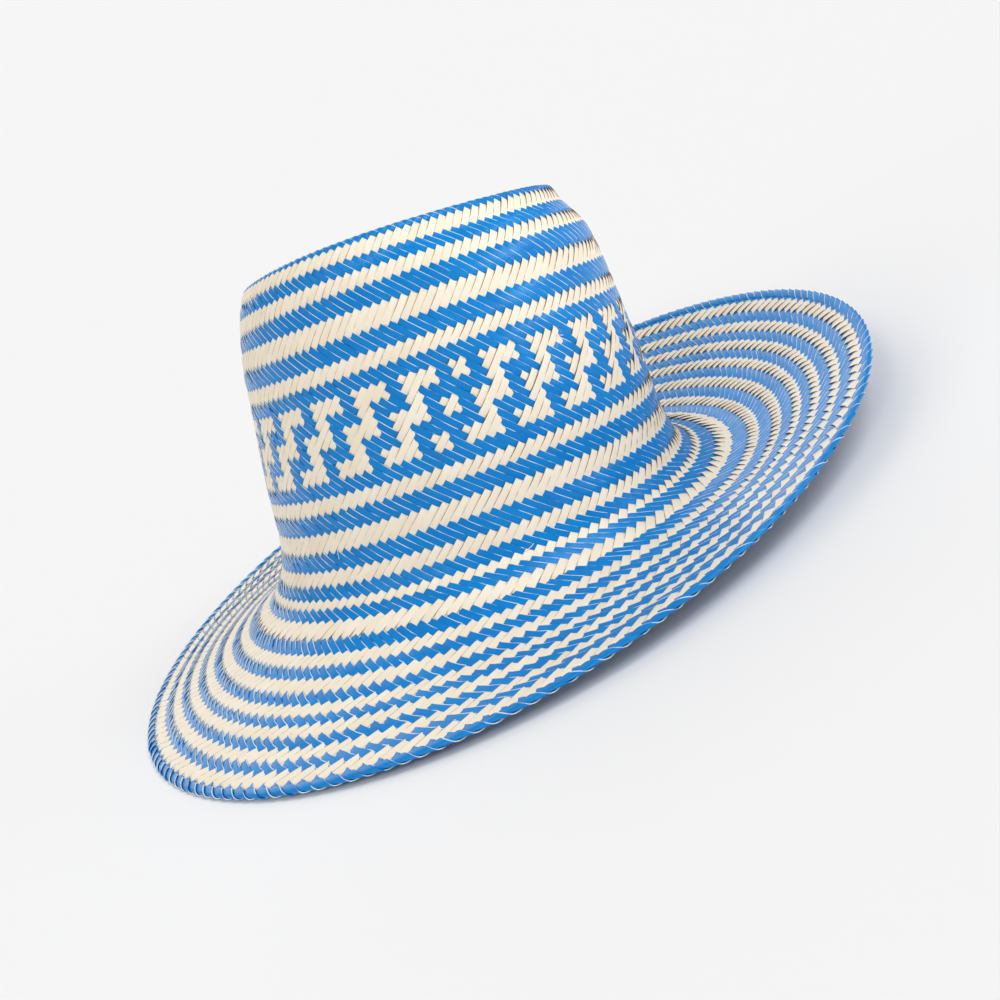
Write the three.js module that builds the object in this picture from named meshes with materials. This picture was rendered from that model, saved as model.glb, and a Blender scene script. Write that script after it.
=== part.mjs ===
import * as THREE from 'three';

// Woven straw hat with a tall leaning crown and a wide brim, resting on its brim.
// Millimetres, +Z up. The origin is on the resting surface, below the middle of the brim.

// Wall sizes
const WALL = 1.8; // two crossed layers of flat straw
const EDGE_WIDTH = 5.2; // plaited outer edge, across the brim
const EDGE_DEPTH = 3.2; // plaited outer edge, top to bottom
const GAP = 0.3; // clearance between neighbouring pieces
const SETTLE = 0.8; // how much the straw flattens where it rests

// Where the pieces part, counted in rows of the weave from the top edge of the crown
const TIP_CENTRE = -36;
const FOOT_OF_CROWN = 68;
const END_OF_BRIM = 101;

// Facets round the hat, and corners round the section of the edge
const AROUND = 60;
const EDGE_CORNERS = 10;
const EDGE_BOXINESS = 0.6;

// One line for each section of the outside of the hat. row is the row of the weave; x, y and z
// are the section's centre; radius, oval and skew give its plan as radius + oval * cos 2a +
// skew * sin 2a at the angle a from +X; tip_x and tip_y are how far the section rises at its +X
// and +Y sides; fold and twist are its rise as cos 2a and sin 2a.
const COLUMNS = ['row', 'x', 'y', 'z', 'radius', 'oval', 'skew', 'tip_x', 'tip_y', 'fold', 'twist'];
const SECTIONS = [
  [-36, 24.0, -6.0, 162.0, 0.0, 0.0, 0.0, 0.0, 0.0, 0.0, 0.0], // middle of the tip
  [-3, 23.5, -6.0, 156.5, 61.0, 2.0, -0.5, -12.5, -21.0, 0.0, 0.0], // tip meets the shoulder
  [0, 23.5, -6.0, 156.5, 69.5, 1.5, -1.0, -12.5, -24.0, 0.5, 0.5], // rounded shoulder
  [5, 22.0, -6.5, 149.0, 74.0, 1.0, -1.5, -14.0, -24.5, 1.0, 1.0],
  [11, 21.0, -6.0, 138.0, 79.0, 1.5, -1.5, -14.5, -23.0, 0.0, 1.0],
  [19, 18.0, -5.5, 121.5, 82.0, 2.0, -0.5, -16.5, -21.0, 0.0, 0.5],
  [26, 15.0, -5.0, 107.0, 84.0, 2.0, -0.5, -16.5, -19.5, -0.5, 0.5], // patterned band starts
  [47, 5.5, -3.5, 63.0, 89.0, 2.0, -0.5, -16.0, -14.0, -0.5, 1.5], // patterned band ends
  [54, 2.5, -3.5, 49.0, 90.0, 2.0, -0.5, -15.5, -12.5, -1.0, 1.5],
  [62, -0.5, -3.0, 34.0, 93.5, 2.0, -0.5, -15.5, -10.5, -1.0, 2.0], // crown starts to turn
  [68, -2.0, -1.5, 24.5, 99.5, 2.5, -0.5, -15.0, -8.5, -0.5, 2.0], // foot of the crown
  [73, -1.0, -1.0, 18.5, 107.5, 3.0, -0.5, -14.5, -7.5, 0.0, 2.0],
  [79, -0.5, 0.0, 13.5, 122.0, 3.5, -1.0, -12.0, -6.0, 1.0, 1.5], // right side dips lowest
  [83, 0.0, 0.0, 12.0, 134.5, 3.0, -1.5, -8.5, -4.5, 1.5, 1.5],
  [87, 0.0, 0.0, 11.5, 146.5, 3.0, -1.5, -4.5, -3.0, 2.0, 1.0],
  [91, 0.0, 0.0, 11.5, 157.5, 2.5, -1.5, -1.0, -2.0, 2.0, 1.0],
  [95, 0.0, 0.0, 11.5, 168.5, 2.5, -2.0, 3.0, -0.5, 2.0, 0.5],
  [99, 0.0, 0.0, 12.0, 180.5, 2.0, -2.0, 7.5, 0.0, 1.5, 0.5],
  [103, 0.0, 0.0, 12.5, 194.0, 1.5, -2.0, 12.5, 1.0, 1.5, 0.5], // outer edge of the brim
];

// Rows where each piece gets a ring of corners
const CROWN_ROWS = [
  -24, -12, -6, -3, -1.5, 0, 2, 5, 8, 11, 19, 26, 36, 47, 54, 58, 62, 65, FOOT_OF_CROWN,
];
const BRIM_ROWS = [70.5, 73, 76, 79, 83, 87, 91, 95, 99, END_OF_BRIM];

const STRAW_CREAM = new THREE.MeshStandardMaterial({ color: 0xe9dcc3, roughness: 0.6, metalness: 0 });
const STRAW_BLUE = new THREE.MeshStandardMaterial({ color: 0x2b86d8, roughness: 0.5, metalness: 0 });
const STRAW_EDGE = new THREE.MeshStandardMaterial({ color: 0x5b9fe0, roughness: 0.5, metalness: 0 });

// Slope of a column between two neighbours, kept flat at a peak so that nothing overshoots
function slopeAt(i, column) {
  const rise = (k) => {
    const run = SECTIONS[k + 1][0] - SECTIONS[k][0];
    return (SECTIONS[k + 1][column] - SECTIONS[k][column]) / run;
  };
  const last = SECTIONS.length - 1;
  if (i === 0) return rise(0);
  if (i === last) return rise(last - 1);
  const before = rise(i - 1);
  const after = rise(i);
  if (before * after <= 0) return 0;
  return (2 * before * after) / (before + after);
}

// Section of the hat at any row, eased between the lines of the table
function sectionAt(row) {
  let i = 0;
  while (i < SECTIONS.length - 2 && row > SECTIONS[i + 1][0]) i += 1;
  const run = SECTIONS[i + 1][0] - SECTIONS[i][0];
  const t = (row - SECTIONS[i][0]) / run;
  const section = {};
  COLUMNS.forEach((name, c) => {
    const from = SECTIONS[i][c];
    const to = SECTIONS[i + 1][c];
    const leave = slopeAt(i, c) * run;
    const arrive = slopeAt(i + 1, c) * run;
    const cubic = 2 * (from - to) + leave + arrive;
    const square = 3 * (to - from) - 2 * leave - arrive;
    section[name] = ((cubic * t + square) * t + leave) * t + from;
  });
  return section;
}

// Point on the outside of the hat
function surface(row, angle) {
  const s = sectionAt(row);
  const reach = s.radius + s.oval * Math.cos(2 * angle) + s.skew * Math.sin(2 * angle);
  const rise = s.tip_x * Math.cos(angle) + s.tip_y * Math.sin(angle);
  const wave = s.fold * Math.cos(2 * angle) + s.twist * Math.sin(2 * angle);
  return new THREE.Vector3(
    s.x + reach * Math.cos(angle),
    s.y + reach * Math.sin(angle),
    s.z + rise + wave,
  );
}

// Direction down and out along the straw, and the direction that faces away from it
function directions(row, angle) {
  const step = 0.2;
  const turn = 0.02;
  const out = surface(row + step, angle).sub(surface(row - step, angle)).normalize();
  const round = surface(row, angle + turn).sub(surface(row, angle - turn)).normalize();
  return { out, away: new THREE.Vector3().crossVectors(out, round).normalize() };
}

// Straw can't go below the surface that the hat rests on
function rest(point) {
  point.z = Math.max(0, point.z - SETTLE);
  return point;
}

// Outside and inside corners of the wall at one row
function wallAt(row, angle, along = 0) {
  const { out, away } = directions(row, angle);
  const outside = surface(row, angle).addScaledVector(out, along);
  const inside = outside.clone().addScaledVector(away, -WALL);
  return [rest(outside), rest(inside)];
}

// Closed body through the same section at every angle. A section that isn't a loop starts
// and ends on corners that all angles share.
function skin(sectionOf, loop) {
  const sections = [];
  for (let k = 0; k < AROUND; k += 1) sections.push(sectionOf((2 * Math.PI * k) / AROUND));
  const corners = sections[0].length;
  const positions = [];
  const number = [];
  sections.forEach((section, k) => {
    number.push(section.map((point, i) => {
      const shared = !loop && (i === 0 || i === corners - 1) && k > 0;
      if (shared) return number[0][i];
      positions.push(point.x, point.y, point.z);
      return positions.length / 3 - 1;
    }));
  });
  const faces = [];
  const triangle = (a, b, c) => {
    if (a !== b && b !== c && c !== a) faces.push(a, b, c);
  };
  for (let k = 0; k < AROUND; k += 1) {
    const here = number[k];
    const next = number[(k + 1) % AROUND];
    const steps = loop ? corners : corners - 1;
    for (let i = 0; i < steps; i += 1) {
      const j = (i + 1) % corners;
      triangle(here[i], here[j], next[j]);
      triangle(here[i], next[j], next[i]);
    }
  }
  const geometry = new THREE.BufferGeometry();
  geometry.setAttribute('position', new THREE.Float32BufferAttribute(positions, 3));
  geometry.setIndex(faces);
  geometry.computeVertexNormals();
  return geometry;
}

function named(name, geometry, material) {
  const mesh = new THREE.Mesh(geometry, material);
  mesh.name = name;
  return mesh;
}

const hat = new THREE.Group();

// Crown, a closed cup: its tip is slightly domed, its wall flares towards the foot
const tipTop = surface(TIP_CENTRE, 0);
const tipRight = surface(CROWN_ROWS[0], 0).sub(tipTop);
const tipBack = surface(CROWN_ROWS[0], Math.PI / 2).sub(tipTop);
const tipAway = tipRight.cross(tipBack).normalize();
hat.add(named('crown', skin((angle) => {
  const walls = CROWN_ROWS.map((row) => wallAt(row, angle));
  const outside = walls.map((pair) => pair[0]);
  const inside = walls.map((pair) => pair[1]).reverse();
  const top = rest(tipTop.clone());
  const under = rest(tipTop.clone().addScaledVector(tipAway, -WALL));
  return [top, ...outside, ...inside, under];
}, false), STRAW_CREAM));

// Brim, a wide ring from the foot of the crown: level on the left, dipping and curling up on
// the right
hat.add(named('brim', skin((angle) => {
  const walls = BRIM_ROWS.map((row) => wallAt(row, angle));
  walls.unshift(wallAt(FOOT_OF_CROWN, angle, GAP));
  const outside = walls.map((pair) => pair[0]);
  const inside = walls.map((pair) => pair[1]).reverse();
  return [...outside, ...inside];
}, true), STRAW_BLUE));

// Outer edge, where the strand ends are turned back and plaited into a thicker band
hat.add(named('rim_edge', skin((angle) => {
  const { out, away } = directions(END_OF_BRIM, angle);
  const boxy = (value) => Math.sign(value) * Math.abs(value) ** EDGE_BOXINESS;
  const inner = boxy(Math.cos(Math.PI / EDGE_CORNERS)) * (EDGE_WIDTH / 2);
  const middle = surface(END_OF_BRIM, angle).addScaledVector(away, -WALL / 2);
  middle.addScaledVector(out, GAP + inner);
  const section = [];
  for (let k = 0; k < EDGE_CORNERS; k += 1) {
    const turn = ((k + 0.5) * 2 * Math.PI) / EDGE_CORNERS;
    const point = middle.clone();
    point.addScaledVector(out, boxy(Math.cos(turn)) * (EDGE_WIDTH / 2));
    point.addScaledVector(away, -boxy(Math.sin(turn)) * (EDGE_DEPTH / 2));
    section.push(rest(point));
  }
  return section;
}, true), STRAW_EDGE));

export default hat;
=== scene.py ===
import math

import bpy
import numpy as np
from mathutils import Matrix, Vector


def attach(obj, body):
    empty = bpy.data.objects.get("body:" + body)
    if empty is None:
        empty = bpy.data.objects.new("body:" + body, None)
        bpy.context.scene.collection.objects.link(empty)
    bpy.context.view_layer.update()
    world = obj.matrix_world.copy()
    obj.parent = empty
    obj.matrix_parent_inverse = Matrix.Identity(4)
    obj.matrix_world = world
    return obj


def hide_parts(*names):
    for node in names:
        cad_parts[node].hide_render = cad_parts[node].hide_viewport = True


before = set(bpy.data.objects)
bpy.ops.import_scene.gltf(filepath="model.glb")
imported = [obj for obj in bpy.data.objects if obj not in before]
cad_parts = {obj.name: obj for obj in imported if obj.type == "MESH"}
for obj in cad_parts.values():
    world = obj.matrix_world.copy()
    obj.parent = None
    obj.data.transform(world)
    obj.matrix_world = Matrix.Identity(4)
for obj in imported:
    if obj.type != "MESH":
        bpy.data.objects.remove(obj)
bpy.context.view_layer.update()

MM = 0.001


# Camera
# It stands in front of the hat and a little above its brim. It is turned on its side by nearly
# 30 degrees, because the photograph shows the hat tipped.
camera_place = Vector((2.8, -1094.2, 401.7)) * MM
turned_right = math.radians(0.24)
looks_down = math.radians(19.09)
on_its_side = math.radians(29.01)

forward = Vector((
    math.sin(turned_right) * math.cos(looks_down),
    math.cos(turned_right) * math.cos(looks_down),
    -math.sin(looks_down)))
level = Vector((math.cos(turned_right), -math.sin(turned_right), 0))
upward = level.cross(forward)
picture_right = math.cos(on_its_side) * level - math.sin(on_its_side) * upward
picture_up = math.sin(on_its_side) * level + math.cos(on_its_side) * upward

bpy.ops.object.camera_add()
camera = bpy.context.object
camera.matrix_world = (
    Matrix.Translation(camera_place)
    @ Matrix((picture_right, picture_up, -forward)).transposed().to_4x4())
camera.data.sensor_width = 36
camera.data.lens = 88.88
camera.data.clip_end = 100
bpy.context.scene.camera = camera
bpy.context.scene.view_settings.view_transform = "Standard"


# Floor and light
# A plain pale studio floor, wide enough to fill the picture. Soft boxes light the hat from
# above, both sides, in front and behind, and a bright card on the floor at the right, out of
# the picture, glints in the crown.
def linear(hex_colour):
    """An sRGB colour such as "#F3E6CF" as the linear numbers that a shader takes."""
    parts = [int(hex_colour[k:k + 2], 16) / 255 for k in (1, 3, 5)]
    return [p / 12.92 if p <= 0.04045 else ((p + 0.055) / 1.055) ** 2.4 for p in parts] + [1]


def add_node(tree, kind, settings=None, **links):
    """Add a node, set its fields and unlinked sockets, and link its other sockets.

    A link names its socket, such as Vector, or gives its number, such as _0.
    """
    node = tree.nodes.new(kind)
    for key, value in (settings or {}).items():
        if isinstance(key, str) and hasattr(node, key):
            setattr(node, key, value)
        else:
            node.inputs[key].default_value = value
    for key, source in links.items():
        socket = int(key[1:]) if key[1:].isdigit() else key
        tree.links.new(source, node.inputs[socket])
    return node


def new_material(name):
    """A material with its node tree and its shader."""
    material = bpy.data.materials.new(name)
    material.use_nodes = True
    tree = material.node_tree
    shader = tree.nodes["Principled BSDF"]
    return material, tree, shader


bpy.ops.mesh.primitive_plane_add(size=60)
floor = bpy.context.object
floor.name = "floor"
floor_paint, _, floor_shader = new_material("matt pale studio paint")
floor_shader.inputs["Base Color"].default_value = linear("#F3F3F4")
floor_shader.inputs["Roughness"].default_value = 0.9
floor_shader.inputs["Specular IOR Level"].default_value = 0.1
floor.data.materials.append(floor_paint)

surround = bpy.context.scene.world or bpy.data.worlds.new("studio")
bpy.context.scene.world = surround
surround.use_nodes = True
surround.node_tree.nodes["Background"].inputs["Color"].default_value = (1.0, 0.94, 0.86, 1)
surround.node_tree.nodes["Background"].inputs["Strength"].default_value = 0.45


def soft_sun(name, comes_from, spread, colour, power):
    """Even light from one side, softened as by a large box that is this many degrees wide."""
    bpy.ops.object.light_add(type="SUN")
    lamp = bpy.context.object
    lamp.name = name
    lamp.data.angle = math.radians(spread)
    lamp.data.color = colour
    lamp.data.energy = power
    lamp.rotation_euler = Vector(comes_from).to_track_quat("Z", "Y").to_euler()


soft_sun("main soft box", (0.55, -0.35, 0.85), 35, (0.9, 0.945, 1.0), 1.3)
soft_sun("right soft box", (0.93, -0.33, 0.09), 14, (0.95, 0.97, 1.0), 0.4)
soft_sun("front soft box", (-0.25, -0.72, 0.6), 16, (0.95, 0.97, 1.0), 0.5)
soft_sun("left soft box", (-0.75, -0.4, 0.5), 45, (0.92, 0.96, 1.0), 0.5)
soft_sun("back soft box", (-0.2, 0.9, 0.5), 60, (0.92, 0.96, 1.0), 0.75)

bpy.ops.object.light_add(type="AREA", location=(0.52, -0.42, 0.004))
card = bpy.context.object
card.name = "low card"
card.data.shape = "RECTANGLE"
card.data.size, card.data.size_y = 0.3, 0.14
card.data.color = (1.0, 0.95, 0.92)
card.data.energy = 3.0
card.rotation_euler = (math.pi, 0, math.radians(35))  # it faces up
card.visible_camera = False


# Crown
# The real hat is woven in one piece from two crossed sets of flat split palm straw. Undyed
# strands run one way and dyed blue ones the other, and each stripe is where one set floats on
# top. Each strand here is its own thin closed ribbon.
SECTIONS = [
    # row of the weave, then in millimetres: the centre of the section, its plan as radius +
    # oval * cos 2a + skew * sin 2a at the angle a from +X, how far it rises at its +X and +Y
    # sides, and its rise as cos 2a and sin 2a
    # row, x, y, z, radius, oval, skew, tip_x, tip_y, fold, twist
    (-36, 24.0, -6.0, 162.0, 0.0, 0.0, 0.0, 0.0, 0.0, 0.0, 0.0),
    (-3, 23.5, -6.0, 156.5, 61.0, 2.0, -0.5, -12.5, -21.0, 0.0, 0.0),
    (0, 23.5, -6.0, 156.5, 69.5, 1.5, -1.0, -12.5, -24.0, 0.5, 0.5),
    (5, 22.0, -6.5, 149.0, 74.0, 1.0, -1.5, -14.0, -24.5, 1.0, 1.0),
    (11, 21.0, -6.0, 138.0, 79.0, 1.5, -1.5, -14.5, -23.0, 0.0, 1.0),
    (19, 18.0, -5.5, 121.5, 82.0, 2.0, -0.5, -16.5, -21.0, 0.0, 0.5),
    (26, 15.0, -5.0, 107.0, 84.0, 2.0, -0.5, -16.5, -19.5, -0.5, 0.5),
    (47, 5.5, -3.5, 63.0, 89.0, 2.0, -0.5, -16.0, -14.0, -0.5, 1.5),
    (54, 2.5, -3.5, 49.0, 90.0, 2.0, -0.5, -15.5, -12.5, -1.0, 1.5),
    (62, -0.5, -3.0, 34.0, 93.5, 2.0, -0.5, -15.5, -10.5, -1.0, 2.0),
    (68, -2.0, -1.5, 24.5, 99.5, 2.5, -0.5, -15.0, -8.5, -0.5, 2.0),
    (73, -1.0, -1.0, 18.5, 107.5, 3.0, -0.5, -14.5, -7.5, 0.0, 2.0),
    (79, -0.5, 0.0, 13.5, 122.0, 3.5, -1.0, -12.0, -6.0, 1.0, 1.5),
    (83, 0.0, 0.0, 12.0, 134.5, 3.0, -1.5, -8.5, -4.5, 1.5, 1.5),
    (87, 0.0, 0.0, 11.5, 146.5, 3.0, -1.5, -4.5, -3.0, 2.0, 1.0),
    (91, 0.0, 0.0, 11.5, 157.5, 2.5, -1.5, -1.0, -2.0, 2.0, 1.0),
    (95, 0.0, 0.0, 11.5, 168.5, 2.5, -2.0, 3.0, -0.5, 2.0, 0.5),
    (99, 0.0, 0.0, 12.0, 180.5, 2.0, -2.0, 7.5, 0.0, 1.5, 0.5),
    (103, 0.0, 0.0, 12.5, 194.0, 1.5, -2.0, 12.5, 1.0, 1.5, 0.5),
]
SETTLE = 0.8  # how far the hat has sunk onto what it rests on, in millimetres
MIDDLE_OF_WALL = 0.7  # depth of the weave's middle below the outside, in millimetres
BRIM_START, BRIM_END = 76, 101  # rows
ON_FLOOR = 0.1 * MM
LONGEST_ARCH = 4  # rows over which a floating strand still bows outwards
ROWS_TO_CORNER = 0.5  # rows from one corner of a strand to its next
ROW_STEP, ANGLE_STEP = 0.2, 0.01  # steps over which slopes are measured
SMOOTH_BELOW = math.radians(40)  # edges flatter than this look smooth

lines = np.array(SECTIONS)
runs = np.diff(lines[:, 0])
rises = np.diff(lines, axis=0) / runs[:, None]
with np.errstate(invalid="ignore", divide="ignore"):
    eased = 2 * rises[:-1] * rises[1:] / (rises[:-1] + rises[1:])
eased[rises[:-1] * rises[1:] <= 0] = 0
slopes = np.vstack([rises[:1], eased, rises[-1:]])


def outside(row, angle):
    """Points on the outside of the hat, in metres, at rows of the weave and angles in radians."""
    row, angle = np.broadcast_arrays(np.asarray(row, float), np.asarray(angle, float))
    i = np.clip(np.searchsorted(lines[:, 0], row, side="right") - 1, 0, len(lines) - 2)
    run = runs[i][..., None]
    t = (row - lines[i, 0])[..., None] / run
    start, end = lines[i], lines[i + 1]
    leave, arrive = slopes[i] * run, slopes[i + 1] * run
    cubic = 2 * (start - end) + leave + arrive
    square = 3 * (end - start) - 2 * leave - arrive
    _, x, y, z, radius, oval, skew, tip_x, tip_y, fold, twist = np.moveaxis(
        ((cubic * t + square) * t + leave) * t + start, -1, 0)
    reach = radius + oval * np.cos(2 * angle) + skew * np.sin(2 * angle)
    rise = tip_x * np.cos(angle) + tip_y * np.sin(angle)
    wave = fold * np.cos(2 * angle) + twist * np.sin(2 * angle)
    return np.stack(
        [x + reach * np.cos(angle), y + reach * np.sin(angle), z + rise + wave - SETTLE], -1) * MM


def unit(vectors):
    """The same directions with length 1."""
    return vectors / np.linalg.norm(vectors, axis=-1, keepdims=True)


def lay_strips(name, middle, side, facing, width, roll, thick, rng):
    """One mesh of thin closed strips, each along its own line of middle points.

    Its first UV runs along the strand in millimetres. Its second is 0 at the long side that is
    rolled up, where its cut side shows and the straw's edge line is drawn, and 1 at the other.
    """
    count, steps = width.shape
    half = side * (width / 2)[..., None]
    lean = facing * (width * roll)[..., None]
    skin = facing * (thick / 2)
    corners = np.stack([
        middle + half + lean + skin, middle - half - lean + skin,
        middle - half - lean - skin, middle + half + lean - skin], 2)
    corners[..., 2] = np.maximum(corners[..., 2], ON_FLOOR)
    number = np.arange(count * steps * 4).reshape(count, steps, 4)
    here, there = number[:, :-1], number[:, 1:]
    walls = np.stack([here, np.roll(here, -1, 2), np.roll(there, -1, 2), there], -1)
    faces = np.concatenate([walls.reshape(-1, 4), number[:, 0, ::-1], number[:, -1]])
    mesh = bpy.data.meshes.new(name)
    mesh.from_pydata(corners.reshape(-1, 3).tolist(), [], faces.tolist())

    travelled = np.zeros((count, steps))
    travelled[:, 1:] = np.cumsum(np.linalg.norm(np.diff(middle, axis=1), axis=-1), axis=1)
    along_mm = np.repeat((travelled / MM)[..., None], 4, 2)
    rolled_back = np.broadcast_to(roll, width.shape)[..., None] < 0
    across = np.where(rolled_back, [1.0, 0.0, 0.0, 1.0], [0.0, 1.0, 1.0, 0.0])
    uv = np.stack([along_mm, across], -1).reshape(-1, 2)[faces.reshape(-1)]
    mesh.uv_layers.new(name="strand").data.foreach_set("uv", uv.reshape(-1).astype(np.float32))
    tone = mesh.attributes.new("tone", "FLOAT", "POINT")
    tone.data.foreach_set("value", np.repeat(rng.random(count), steps * 4).astype(np.float32))

    piece = bpy.data.objects.new(name, mesh)
    bpy.context.collection.objects.link(piece)
    bpy.ops.object.select_all(action="DESELECT")
    piece.select_set(True)
    bpy.context.view_layer.objects.active = piece
    bpy.ops.object.shade_smooth_by_angle(angle=SMOOTH_BELOW)
    return piece


def directions(row, angle):
    """Ways down the hat and away from it, and the run round it for each radian."""
    down = outside(row + ROW_STEP, angle) - outside(row - ROW_STEP, angle)
    one_step = outside(row, angle + ANGLE_STEP) - outside(row, angle - ANGLE_STEP)
    per_radian = one_step / (2 * ANGLE_STEP)
    return unit(down), unit(np.cross(down, per_radian)), per_radian


# Rows of the weave, counted from the top edge of the crown, where blue floats on top: the
# first one of each stripe, and the one after its last
BLUE_ROWS = [
    (-33, -30), (-27, -23), (-19, -15), (-11, -7),
    (-1, 2), (5, 8), (11, 15), (19, 23), (26, 29), (44, 47), (50, 54), (58, 62), (65, 68),
    (70, 73), (76, 79), (81, 83), (85, 87), (89, 91), (93, 95), (97, 99), (101, 104),
]
STRIPE_ENDS = [row for stripe in BLUE_ROWS for row in stripe]
STRIPE_SIDES = [1, -1] * len(BLUE_ROWS)
# The patterned band, row by row below its first blue rows: which set makes the ground, and at
# which strands of each column the other set floats on top
PATTERN_TOP = 29
PATTERN = [
    ("cream", (0,)), ("cream", (0, 1)), ("cream", (1,)),
    ("blue", (3,)), ("blue", (3, 4)), ("blue", (4,)),
    ("cream", (1,)), ("cream", (1, 2)), ("cream", (2,)),
    ("blue", (4,)), ("blue", (4, 5)), ("blue", (5,)),
    ("cream", (2,)), ("cream", (2, 3)), ("cream", (3,)),
]
CROWN_STRANDS = 118
COLUMN = 5  # strands to a column, apart from one narrow one
NARROW_COLUMN = 3
NARROW_FIRST = 2  # the narrow column starts this many strands before strand 0


def blue_on_top(row, cream_strand, strands):
    """Whether the blue strand is the upper one at whole rows and numbered cream strands."""
    row, strand = np.broadcast_arrays(row, cream_strand)
    on_top = np.zeros(row.shape, bool)
    for first, after in BLUE_ROWS:
        on_top |= (row >= first) & (row < after)
    if strands != CROWN_STRANDS:
        return on_top
    number = (strand + NARROW_FIRST) % strands
    in_narrow = number < NARROW_COLUMN
    offset = np.where(in_narrow, number, (number - NARROW_COLUMN) % COLUMN)
    column_before = np.where(number == NARROW_COLUMN, NARROW_COLUMN, COLUMN)
    for k, (ground, others) in enumerate(PATTERN):
        # numbers past the last strand of a column are in the next column
        own = np.isin(offset, others)
        carried = np.isin(offset + column_before, others)
        if ground == "cream":
            value = own | carried
        else:
            value = ~((own & ~in_narrow) | (carried & (column_before == COLUMN)))
        here = row == PATTERN_TOP + k
        on_top[here] = value[here]
    return on_top


def blue_number(zone, row, angle):
    """Number of the blue strand whose middle is at a place, counted on between strands too."""
    passed = row - zone["start_row"]
    turned = angle - math.radians(zone["start_angle"])
    number = zone["strands"] * turned / (2 * math.pi)
    number = number - passed * (zone["turn"] + zone.get("more_turn", 0) * passed)
    number = number + zone.get("sway", 0) * np.interp(row, STRIPE_ENDS, STRIPE_SIDES)
    share = (row - BRIM_START) / (BRIM_END - BRIM_START)
    for waves, inner_cos, inner_sin, outer_cos, outer_sin in zone.get("waves", ()):
        number = number + (inner_cos + share * (outer_cos - inner_cos)) * np.cos(waves * angle)
        number = number + (inner_sin + share * (outer_sin - inner_sin)) * np.sin(waves * angle)
    return number


TURNS_EACH_WAY = 3
POINTS_A_TURN = 720


def strand_angles(zone, colour, rows):
    """Angle of each strand of one colour at each row. Cream ones lean the other way."""
    strand = np.arange(zone["strands"], dtype=float)
    reach = 2 * TURNS_EACH_WAY * math.pi
    angle = np.linspace(-reach, reach, 2 * TURNS_EACH_WAY * POINTS_A_TURN + 1)
    columns = []
    for row in rows:
        wanted = strand if colour == "blue" else strand - (row - zone["start_row"])
        columns.append(np.interp(wanted, blue_number(zone, row, angle), angle))
    return np.stack(columns, 1)


def strand_spacing(angle):
    """Radians from each strand to the next. The last one takes the value before it."""
    spacing = np.abs(np.roll(angle, -1, 0) - angle)
    spacing[-1] = spacing[-2]
    return spacing


def strand_heights(zone, top, whole, rows):
    """Millimetres that each strand stands above the weave's middle, from where it is on top."""
    position = rows - 0.5 - whole[0]
    low = np.floor(position).astype(int)
    part = position - low
    level_at = np.where(top, 1.0, -1.0)
    level = level_at[:, low] * (1 - part) + level_at[:, low + 1] * part
    # rows since the strand last came up from below, and until it goes under again
    place = np.arange(len(whole))
    dive_before = np.maximum.accumulate(np.where(top, -LONGEST_ARCH, place), axis=1)
    dive_after = np.minimum.accumulate(
        np.where(top, len(whole) + LONGEST_ARCH, place)[:, ::-1], axis=1)[:, ::-1]
    since = np.clip(position - dive_before[:, low], 0, LONGEST_ARCH)
    until = np.clip(dive_after[:, np.ceil(position).astype(int)] - position, 0, LONGEST_ARCH)
    arch = since * until / np.maximum(since + until, 1)
    return level * zone["bend"] + arch * zone["arch"] + np.interp(rows, *zone["lift"])


def weave(name, zone, colour, rng):
    """All the strands of one colour in one zone of the hat."""
    strands = zone["strands"]
    rows = np.arange(zone["first"], zone[f"last_{colour}"] + 0.01, ROWS_TO_CORNER)
    whole = np.arange(math.floor(rows[0]) - 2, math.ceil(rows[-1]) + 2)
    strand = np.arange(strands)[:, None]
    passed = (whole + 0.5 - zone["start_row"])[None, :]
    if colour == "cream":
        top = ~blue_on_top(whole[None, :], strand, strands)
    else:
        top = blue_on_top(whole[None, :], (strand + passed).astype(int), strands)
    height = strand_heights(zone, top, whole, rows)
    angle = strand_angles(zone, colour, rows)
    row = np.broadcast_to(rows, angle.shape)
    _, away, per_radian = directions(row, angle)
    middle = outside(row, angle) + away * ((height - MIDDLE_OF_WALL) * MM)[..., None]
    along = unit(np.gradient(middle, axis=1))
    side = unit(np.cross(away, along))
    fill = rng.uniform(*zone["fill"], strands)
    roll = rng.uniform(*zone[f"roll_{colour}"], strands)
    width = np.abs((per_radian * side).sum(-1)) * strand_spacing(angle) * fill[:, None]
    return lay_strips(name, middle, side, away, width, roll[:, None], zone["thick"] * MM, rng)


# A zone is a ring of the weave. A blue strand is at start_angle in start_row, and for each row
# it goes round by turn, as a share of the way to the next strand. more_turn lets that grow from
# row to row, and sway swings the strands to and fro from stripe to stripe. Over a crossing a
# strand stands bend millimetres up, a float bows outwards by arch for each row, and lift raises
# or tucks the strands in the rows that it names. fill is a strand's width as a share of the way
# to the next one, roll its tilt from side to side, and thick its thickness in millimetres.
crown_zone = {
    "first": -4.5, "last_cream": 76.5, "last_blue": 75.5, "strands": CROWN_STRANDS,
    "start_row": 30.5, "start_angle": -85.7, "turn": 0.535,
    "bend": 0.24, "arch": 0.28, "thick": 0.34, "fill": (0.95, 1.03),
    "roll_cream": (-0.05, -0.01), "roll_blue": (0.02, 0.07),
    "lift": ([-3.5, -0.5, 72.5, 74.5, 75.5, 76.5], [0.4, 0, 0, 0.4, 0.4, 0.2]),
}


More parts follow.
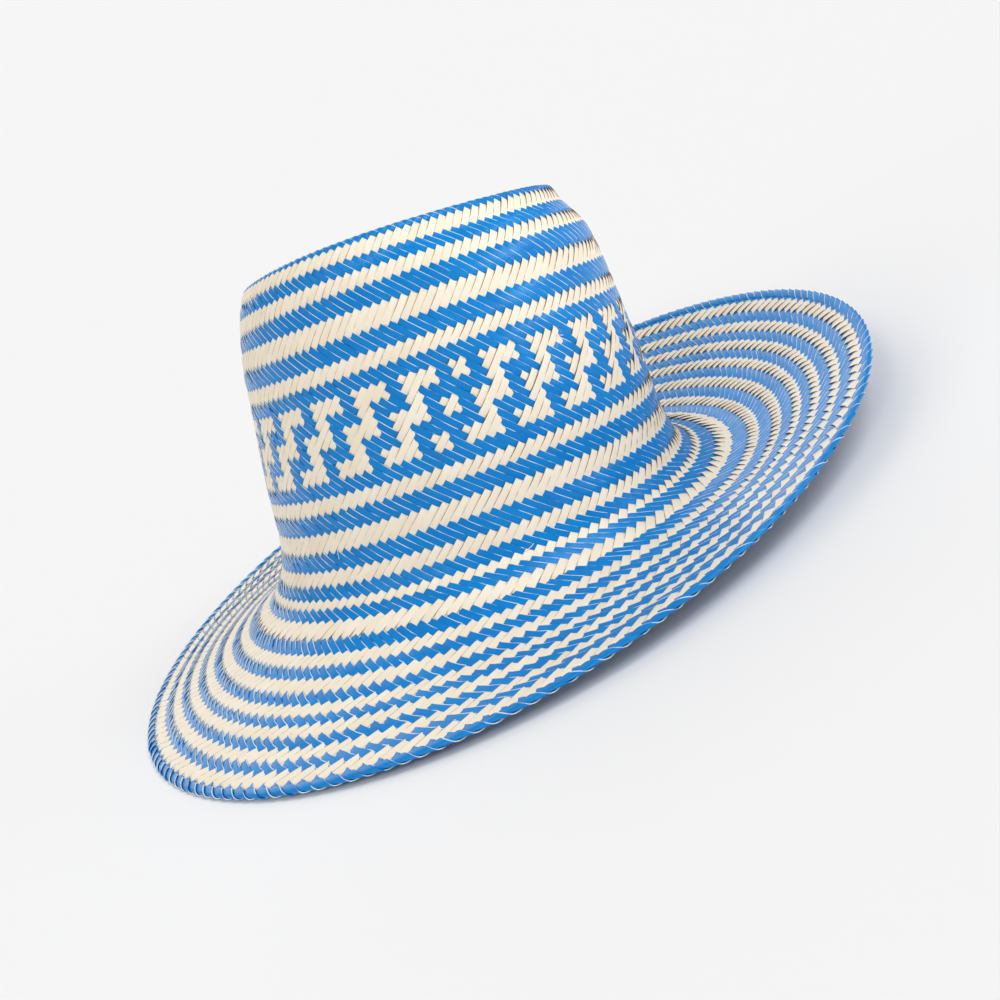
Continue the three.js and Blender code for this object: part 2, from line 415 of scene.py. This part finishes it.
def straw(name, body, shade, grain, edge, edge_width, sheen, roughness):
    """Split palm straw: a smooth satin skin, fine lengthwise grain and an edge line, which is the
    pale cut edge on blue straw and painted shadow of the gap beside the strand on undyed straw.
    """
    material, tree, shader = new_material(name)
    uv = add_node(tree, "ShaderNodeUVMap", {"uv_map": "strand"})
    parts = add_node(tree, "ShaderNodeSeparateXYZ", _0=uv.outputs["UV"])
    tone = add_node(tree, "ShaderNodeAttribute", {"attribute_name": "tone"})
    # grain lines about 0.5 mm apart, each 1 to 2 cm long
    shift = add_node(
        tree, "ShaderNodeMath", {"operation": "MULTIPLY_ADD", 1: 40.0},
        _0=tone.outputs["Fac"], _2=parts.outputs["Y"])
    lengthwise = add_node(
        tree, "ShaderNodeCombineXYZ", _0=parts.outputs["X"], _1=shift.outputs["Value"])
    stretch = add_node(
        tree, "ShaderNodeMapping", {"Scale": (0.08, 8.0, 1.0)}, _0=lengthwise.outputs["Vector"])
    fine = add_node(
        tree, "ShaderNodeTexNoise", {"Scale": 1.0, "Detail": 3.0, "Roughness": 0.6},
        Vector=stretch.outputs["Vector"])
    place = add_node(tree, "ShaderNodeTexCoord")
    # each strand has its own tone, and patches of about 1 cm vary it
    patchy = add_node(
        tree, "ShaderNodeTexNoise", {"Scale": 90.0, "Detail": 2.0},
        Vector=place.outputs["Object"])
    grain_mask = add_node(
        tree, "ShaderNodeMapRange", {"From Min": 0.35, "From Max": 0.75},
        Value=fine.outputs["Fac"])
    grainy = add_node(
        tree, "ShaderNodeMix", {"data_type": "RGBA", 6: linear(body), 7: linear(grain)},
        _0=grain_mask.outputs["Result"])
    blotch = add_node(
        tree, "ShaderNodeMath", {"operation": "MULTIPLY_ADD", 1: 0.7},
        _0=tone.outputs["Fac"], _2=patchy.outputs["Fac"])
    blotch_range = add_node(
        tree, "ShaderNodeMapRange", {"From Min": 0.45, "From Max": 1.35, "To Max": 0.5},
        Value=blotch.outputs["Value"])
    varied = add_node(
        tree, "ShaderNodeMix", {"data_type": "RGBA", 7: linear(shade)},
        _0=blotch_range.outputs["Result"], _6=grainy.outputs[2])
    # a line along one side comes and goes: pale cut edge on blue, painted gap shadow on undyed
    # straw
    wander = add_node(
        tree, "ShaderNodeMapping", {"Scale": (0.12, 3.0, 1.0)}, _0=lengthwise.outputs["Vector"])
    coming = add_node(
        tree, "ShaderNodeTexNoise", {"Scale": 1.0, "Detail": 1.0}, Vector=wander.outputs["Vector"])
    reach = add_node(
        tree, "ShaderNodeMapRange",
        {"From Min": 0.35, "From Max": 0.6, "To Min": -0.02, "To Max": edge_width},
        Value=coming.outputs["Fac"])
    inside = add_node(
        tree, "ShaderNodeMath", {"operation": "SUBTRACT"},
        _0=reach.outputs["Result"], _1=parts.outputs["Y"])
    cut_edge_and_gap_shadow_mask = add_node(
        tree, "ShaderNodeMapRange", {"From Min": -0.015, "From Max": 0.015},
        Value=inside.outputs["Value"])
    final = add_node(
        tree, "ShaderNodeMix", {"data_type": "RGBA", 7: linear(edge)},
        _0=cut_edge_and_gap_shadow_mask.outputs["Result"], _6=varied.outputs[2])
    tree.links.new(final.outputs[2], shader.inputs["Base Color"])
    # the skin is faintly rounded from edge to edge, and its grain stands up by a few hundredths
    # of a millimetre
    off_centre = add_node(
        tree, "ShaderNodeMath", {"operation": "SUBTRACT", 1: 0.5}, _0=parts.outputs["Y"])
    squared = add_node(
        tree, "ShaderNodeMath", {"operation": "MULTIPLY"},
        _0=off_centre.outputs[0], _1=off_centre.outputs[0])
    rounded = add_node(
        tree, "ShaderNodeMath", {"operation": "MULTIPLY_ADD", 1: -3.0},
        _0=squared.outputs["Value"], _2=fine.outputs["Fac"])
    bump = add_node(
        tree, "ShaderNodeBump", {"Strength": 0.4, "Distance": 0.00025},
        Height=rounded.outputs["Value"])
    tree.links.new(bump.outputs["Normal"], shader.inputs["Normal"])
    shader.inputs["Roughness"].default_value = roughness
    shader.inputs["IOR"].default_value = 1.44
    shader.inputs["Specular Tint"].default_value = linear(sheen)
    return material


# The undyed straw's dark brown edge line is painted shadow in the gaps between strands; the blue
# straw's pale edge line is its undyed cut edge.
cream_straw = straw(
    "undyed split palm straw, satin", "#F3E7D1", "#EBDABD", "#F8F0E2", "#8A6C42", 0.055,
    "#FFFFFF", 0.4)
blue_straw = straw(
    "blue dyed split palm straw, satin", "#007DC8", "#006FBA", "#0E8CD8", "#DEE9F1", 0.08,
    "#B9D8F6", 0.22)


def finish_straw(piece, colour, *nodes):
    """Give a woven piece its straw and its place on the hat, and hide the solids that it stands
    for.
    """
    piece.data.materials.append(cream_straw if colour == "cream" else blue_straw)
    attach(piece, "root")
    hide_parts(*nodes)


chance = np.random.default_rng(7)
for colour in ("cream", "blue"):
    finish_straw(weave(f"crown_{colour}", crown_zone, colour, chance), colour, "crown")


# Tip of the crown
# The closed top, woven like the wall but with fewer strands towards its middle, so that they
# keep nearly the same width. Each ring of the weave ends under the next one out.
tip_zones = [
    # first row, last row, strands, rows where the ring is lifted or tucked, and by how much
    (-14.5, -2.5, 118, [-13.5, -11.5, -4.5, -3.5], [0.4, 0, 0, -0.4]),
    (-24.5, -12.5, 78, [-23.5, -21.5, -15.5, -14.5], [0.4, 0, 0, -0.4]),
    (-30.5, -22.5, 44, [-29.5, -28.5, -25.5, -24.5], [0.4, 0, 0, -0.4]),
    (-35.9, -29.0, 20, [-32.5, -31.5, -30.5], [0, 0, -0.4]),
]
for k, (first, last, strands, *lift) in enumerate(tip_zones):
    ring = dict(
        crown_zone, first=first, last_cream=last, last_blue=last, strands=strands, lift=lift)
    for colour in ("cream", "blue"):
        finish_straw(weave(f"tip_ring_{k + 1}_{colour}", ring, colour, chance), colour, "crown")


# Brim
# Strands are added at the foot of the crown, so that the weave spreads into a wide brim. Its
# strands are wider than the crown's, and its stripes are two or three rows each.
SPREAD = [
    # waves round the brim, then how many strands they add as cosine and sine, first at the foot
    # of the crown and then at the outer edge
    (1, -1.9, 0.1, -5.3, 0.8),
    (2, 0.3, 1.1, -0.5, 0.5),
    (3, -0.1, -0.1, -0.5, -0.2),
]
brim_zone = dict(
    crown_zone, first=74.0, last_cream=101.5, last_blue=101.5, strands=170, start_row=76.5,
    start_angle=-4.4, turn=0.49, more_turn=0.0017, sway=0.16, waves=SPREAD, bend=0.27,
    arch=0.2, roll_cream=(-0.07, -0.03), roll_blue=(0.045, 0.08), thick=0.36,
    lift=([75.5, 76.0, 76.5], [-0.4, -0.2, 0]))
for colour in ("cream", "blue"):
    finish_straw(weave(f"brim_{colour}", brim_zone, colour, chance), colour, "brim")


# Outer edge
# The blue strands are turned down over the edge and tucked back under it, so that the edge is
# wrapped in short slanted lengths with their pale cut sides showing between them.
EDGE_ROW = 101.85
EDGE_HALF_WIDTH = 2.35  # millimetres, as the next one
EDGE_HALF_DEPTH = 1.0
ROWS_ACROSS_EDGE = 1.6
WRAP_FILL = 1.03  # a strand's width as a share of the way to the next one
WRAP_ROLL = 0.055
WRAP_THICK = 0.42 * MM
WRAP_STARTS, WRAP_ENDS = -0.04, 0.96  # turns round the edge
WRAP_CORNERS = 17

turns = np.linspace(WRAP_STARTS, WRAP_ENDS, WRAP_CORNERS)
rows_round = EDGE_ROW - ROWS_ACROSS_EDGE / 2 + ROWS_ACROSS_EDGE * turns * 2
angle = strand_angles(brim_zone, "blue", rows_round)
down, away, per_radian = directions(EDGE_ROW, angle)
round_edge = 2 * math.pi * turns[None, :, None]
middle = outside(EDGE_ROW, angle) - away * MIDDLE_OF_WALL * MM
middle = middle - np.cos(round_edge) * down * EDGE_HALF_WIDTH * MM
middle = middle + np.sin(round_edge) * away * EDGE_HALF_DEPTH * MM
facing = unit(
    np.sin(round_edge) * away * EDGE_HALF_WIDTH - np.cos(round_edge) * down * EDGE_HALF_DEPTH)
width = np.linalg.norm(per_radian, axis=-1) * strand_spacing(angle) * WRAP_FILL
rim_wrap = lay_strips(
    "rim_wrap", middle, unit(per_radian), facing, width, WRAP_ROLL, WRAP_THICK, chance)
finish_straw(rim_wrap, "blue", "rim_edge")


# Stray fibres
# Fine pale slivers that have split off the undyed straw. They aren't fixed, but lie loose on
# the weave, here and there over the crown and the brim.
FIBRES = 26
FIRST_ROW, LAST_ROW = 3, 96
MOST_ROWS = 3.5  # rows that a fibre runs along the hat, at most
MOST_TURN = 0.07  # radians that it runs round it, at most
FIBRE_HEIGHT, FIBRE_WIDTH, FIBRE_THICK = 0.12, 0.3, 0.12  # millimetres

start_row = chance.uniform(FIRST_ROW, LAST_ROW, FIBRES)
start_angle = chance.uniform(0, 2 * math.pi, FIBRES)
steps = np.linspace(0, 1, 6)[None, :]
row = start_row[:, None] + chance.uniform(-MOST_ROWS, MOST_ROWS, FIBRES)[:, None] * steps
turned = chance.uniform(-MOST_TURN, MOST_TURN, FIBRES)[:, None] * steps ** 1.5
angle = start_angle[:, None] + turned
_, away, _ = directions(row, angle)
middle = outside(row, angle) + away * FIBRE_HEIGHT * MM
side = unit(np.cross(away, unit(np.gradient(middle, axis=1))))
stray_fibres = lay_strips(
    "stray_fibres", middle, side, away, np.full(row.shape, FIBRE_WIDTH * MM), 0.0,
    FIBRE_THICK * MM, chance)
stray_fibres.data.materials.append(cream_straw)
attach(stray_fibres, "root")
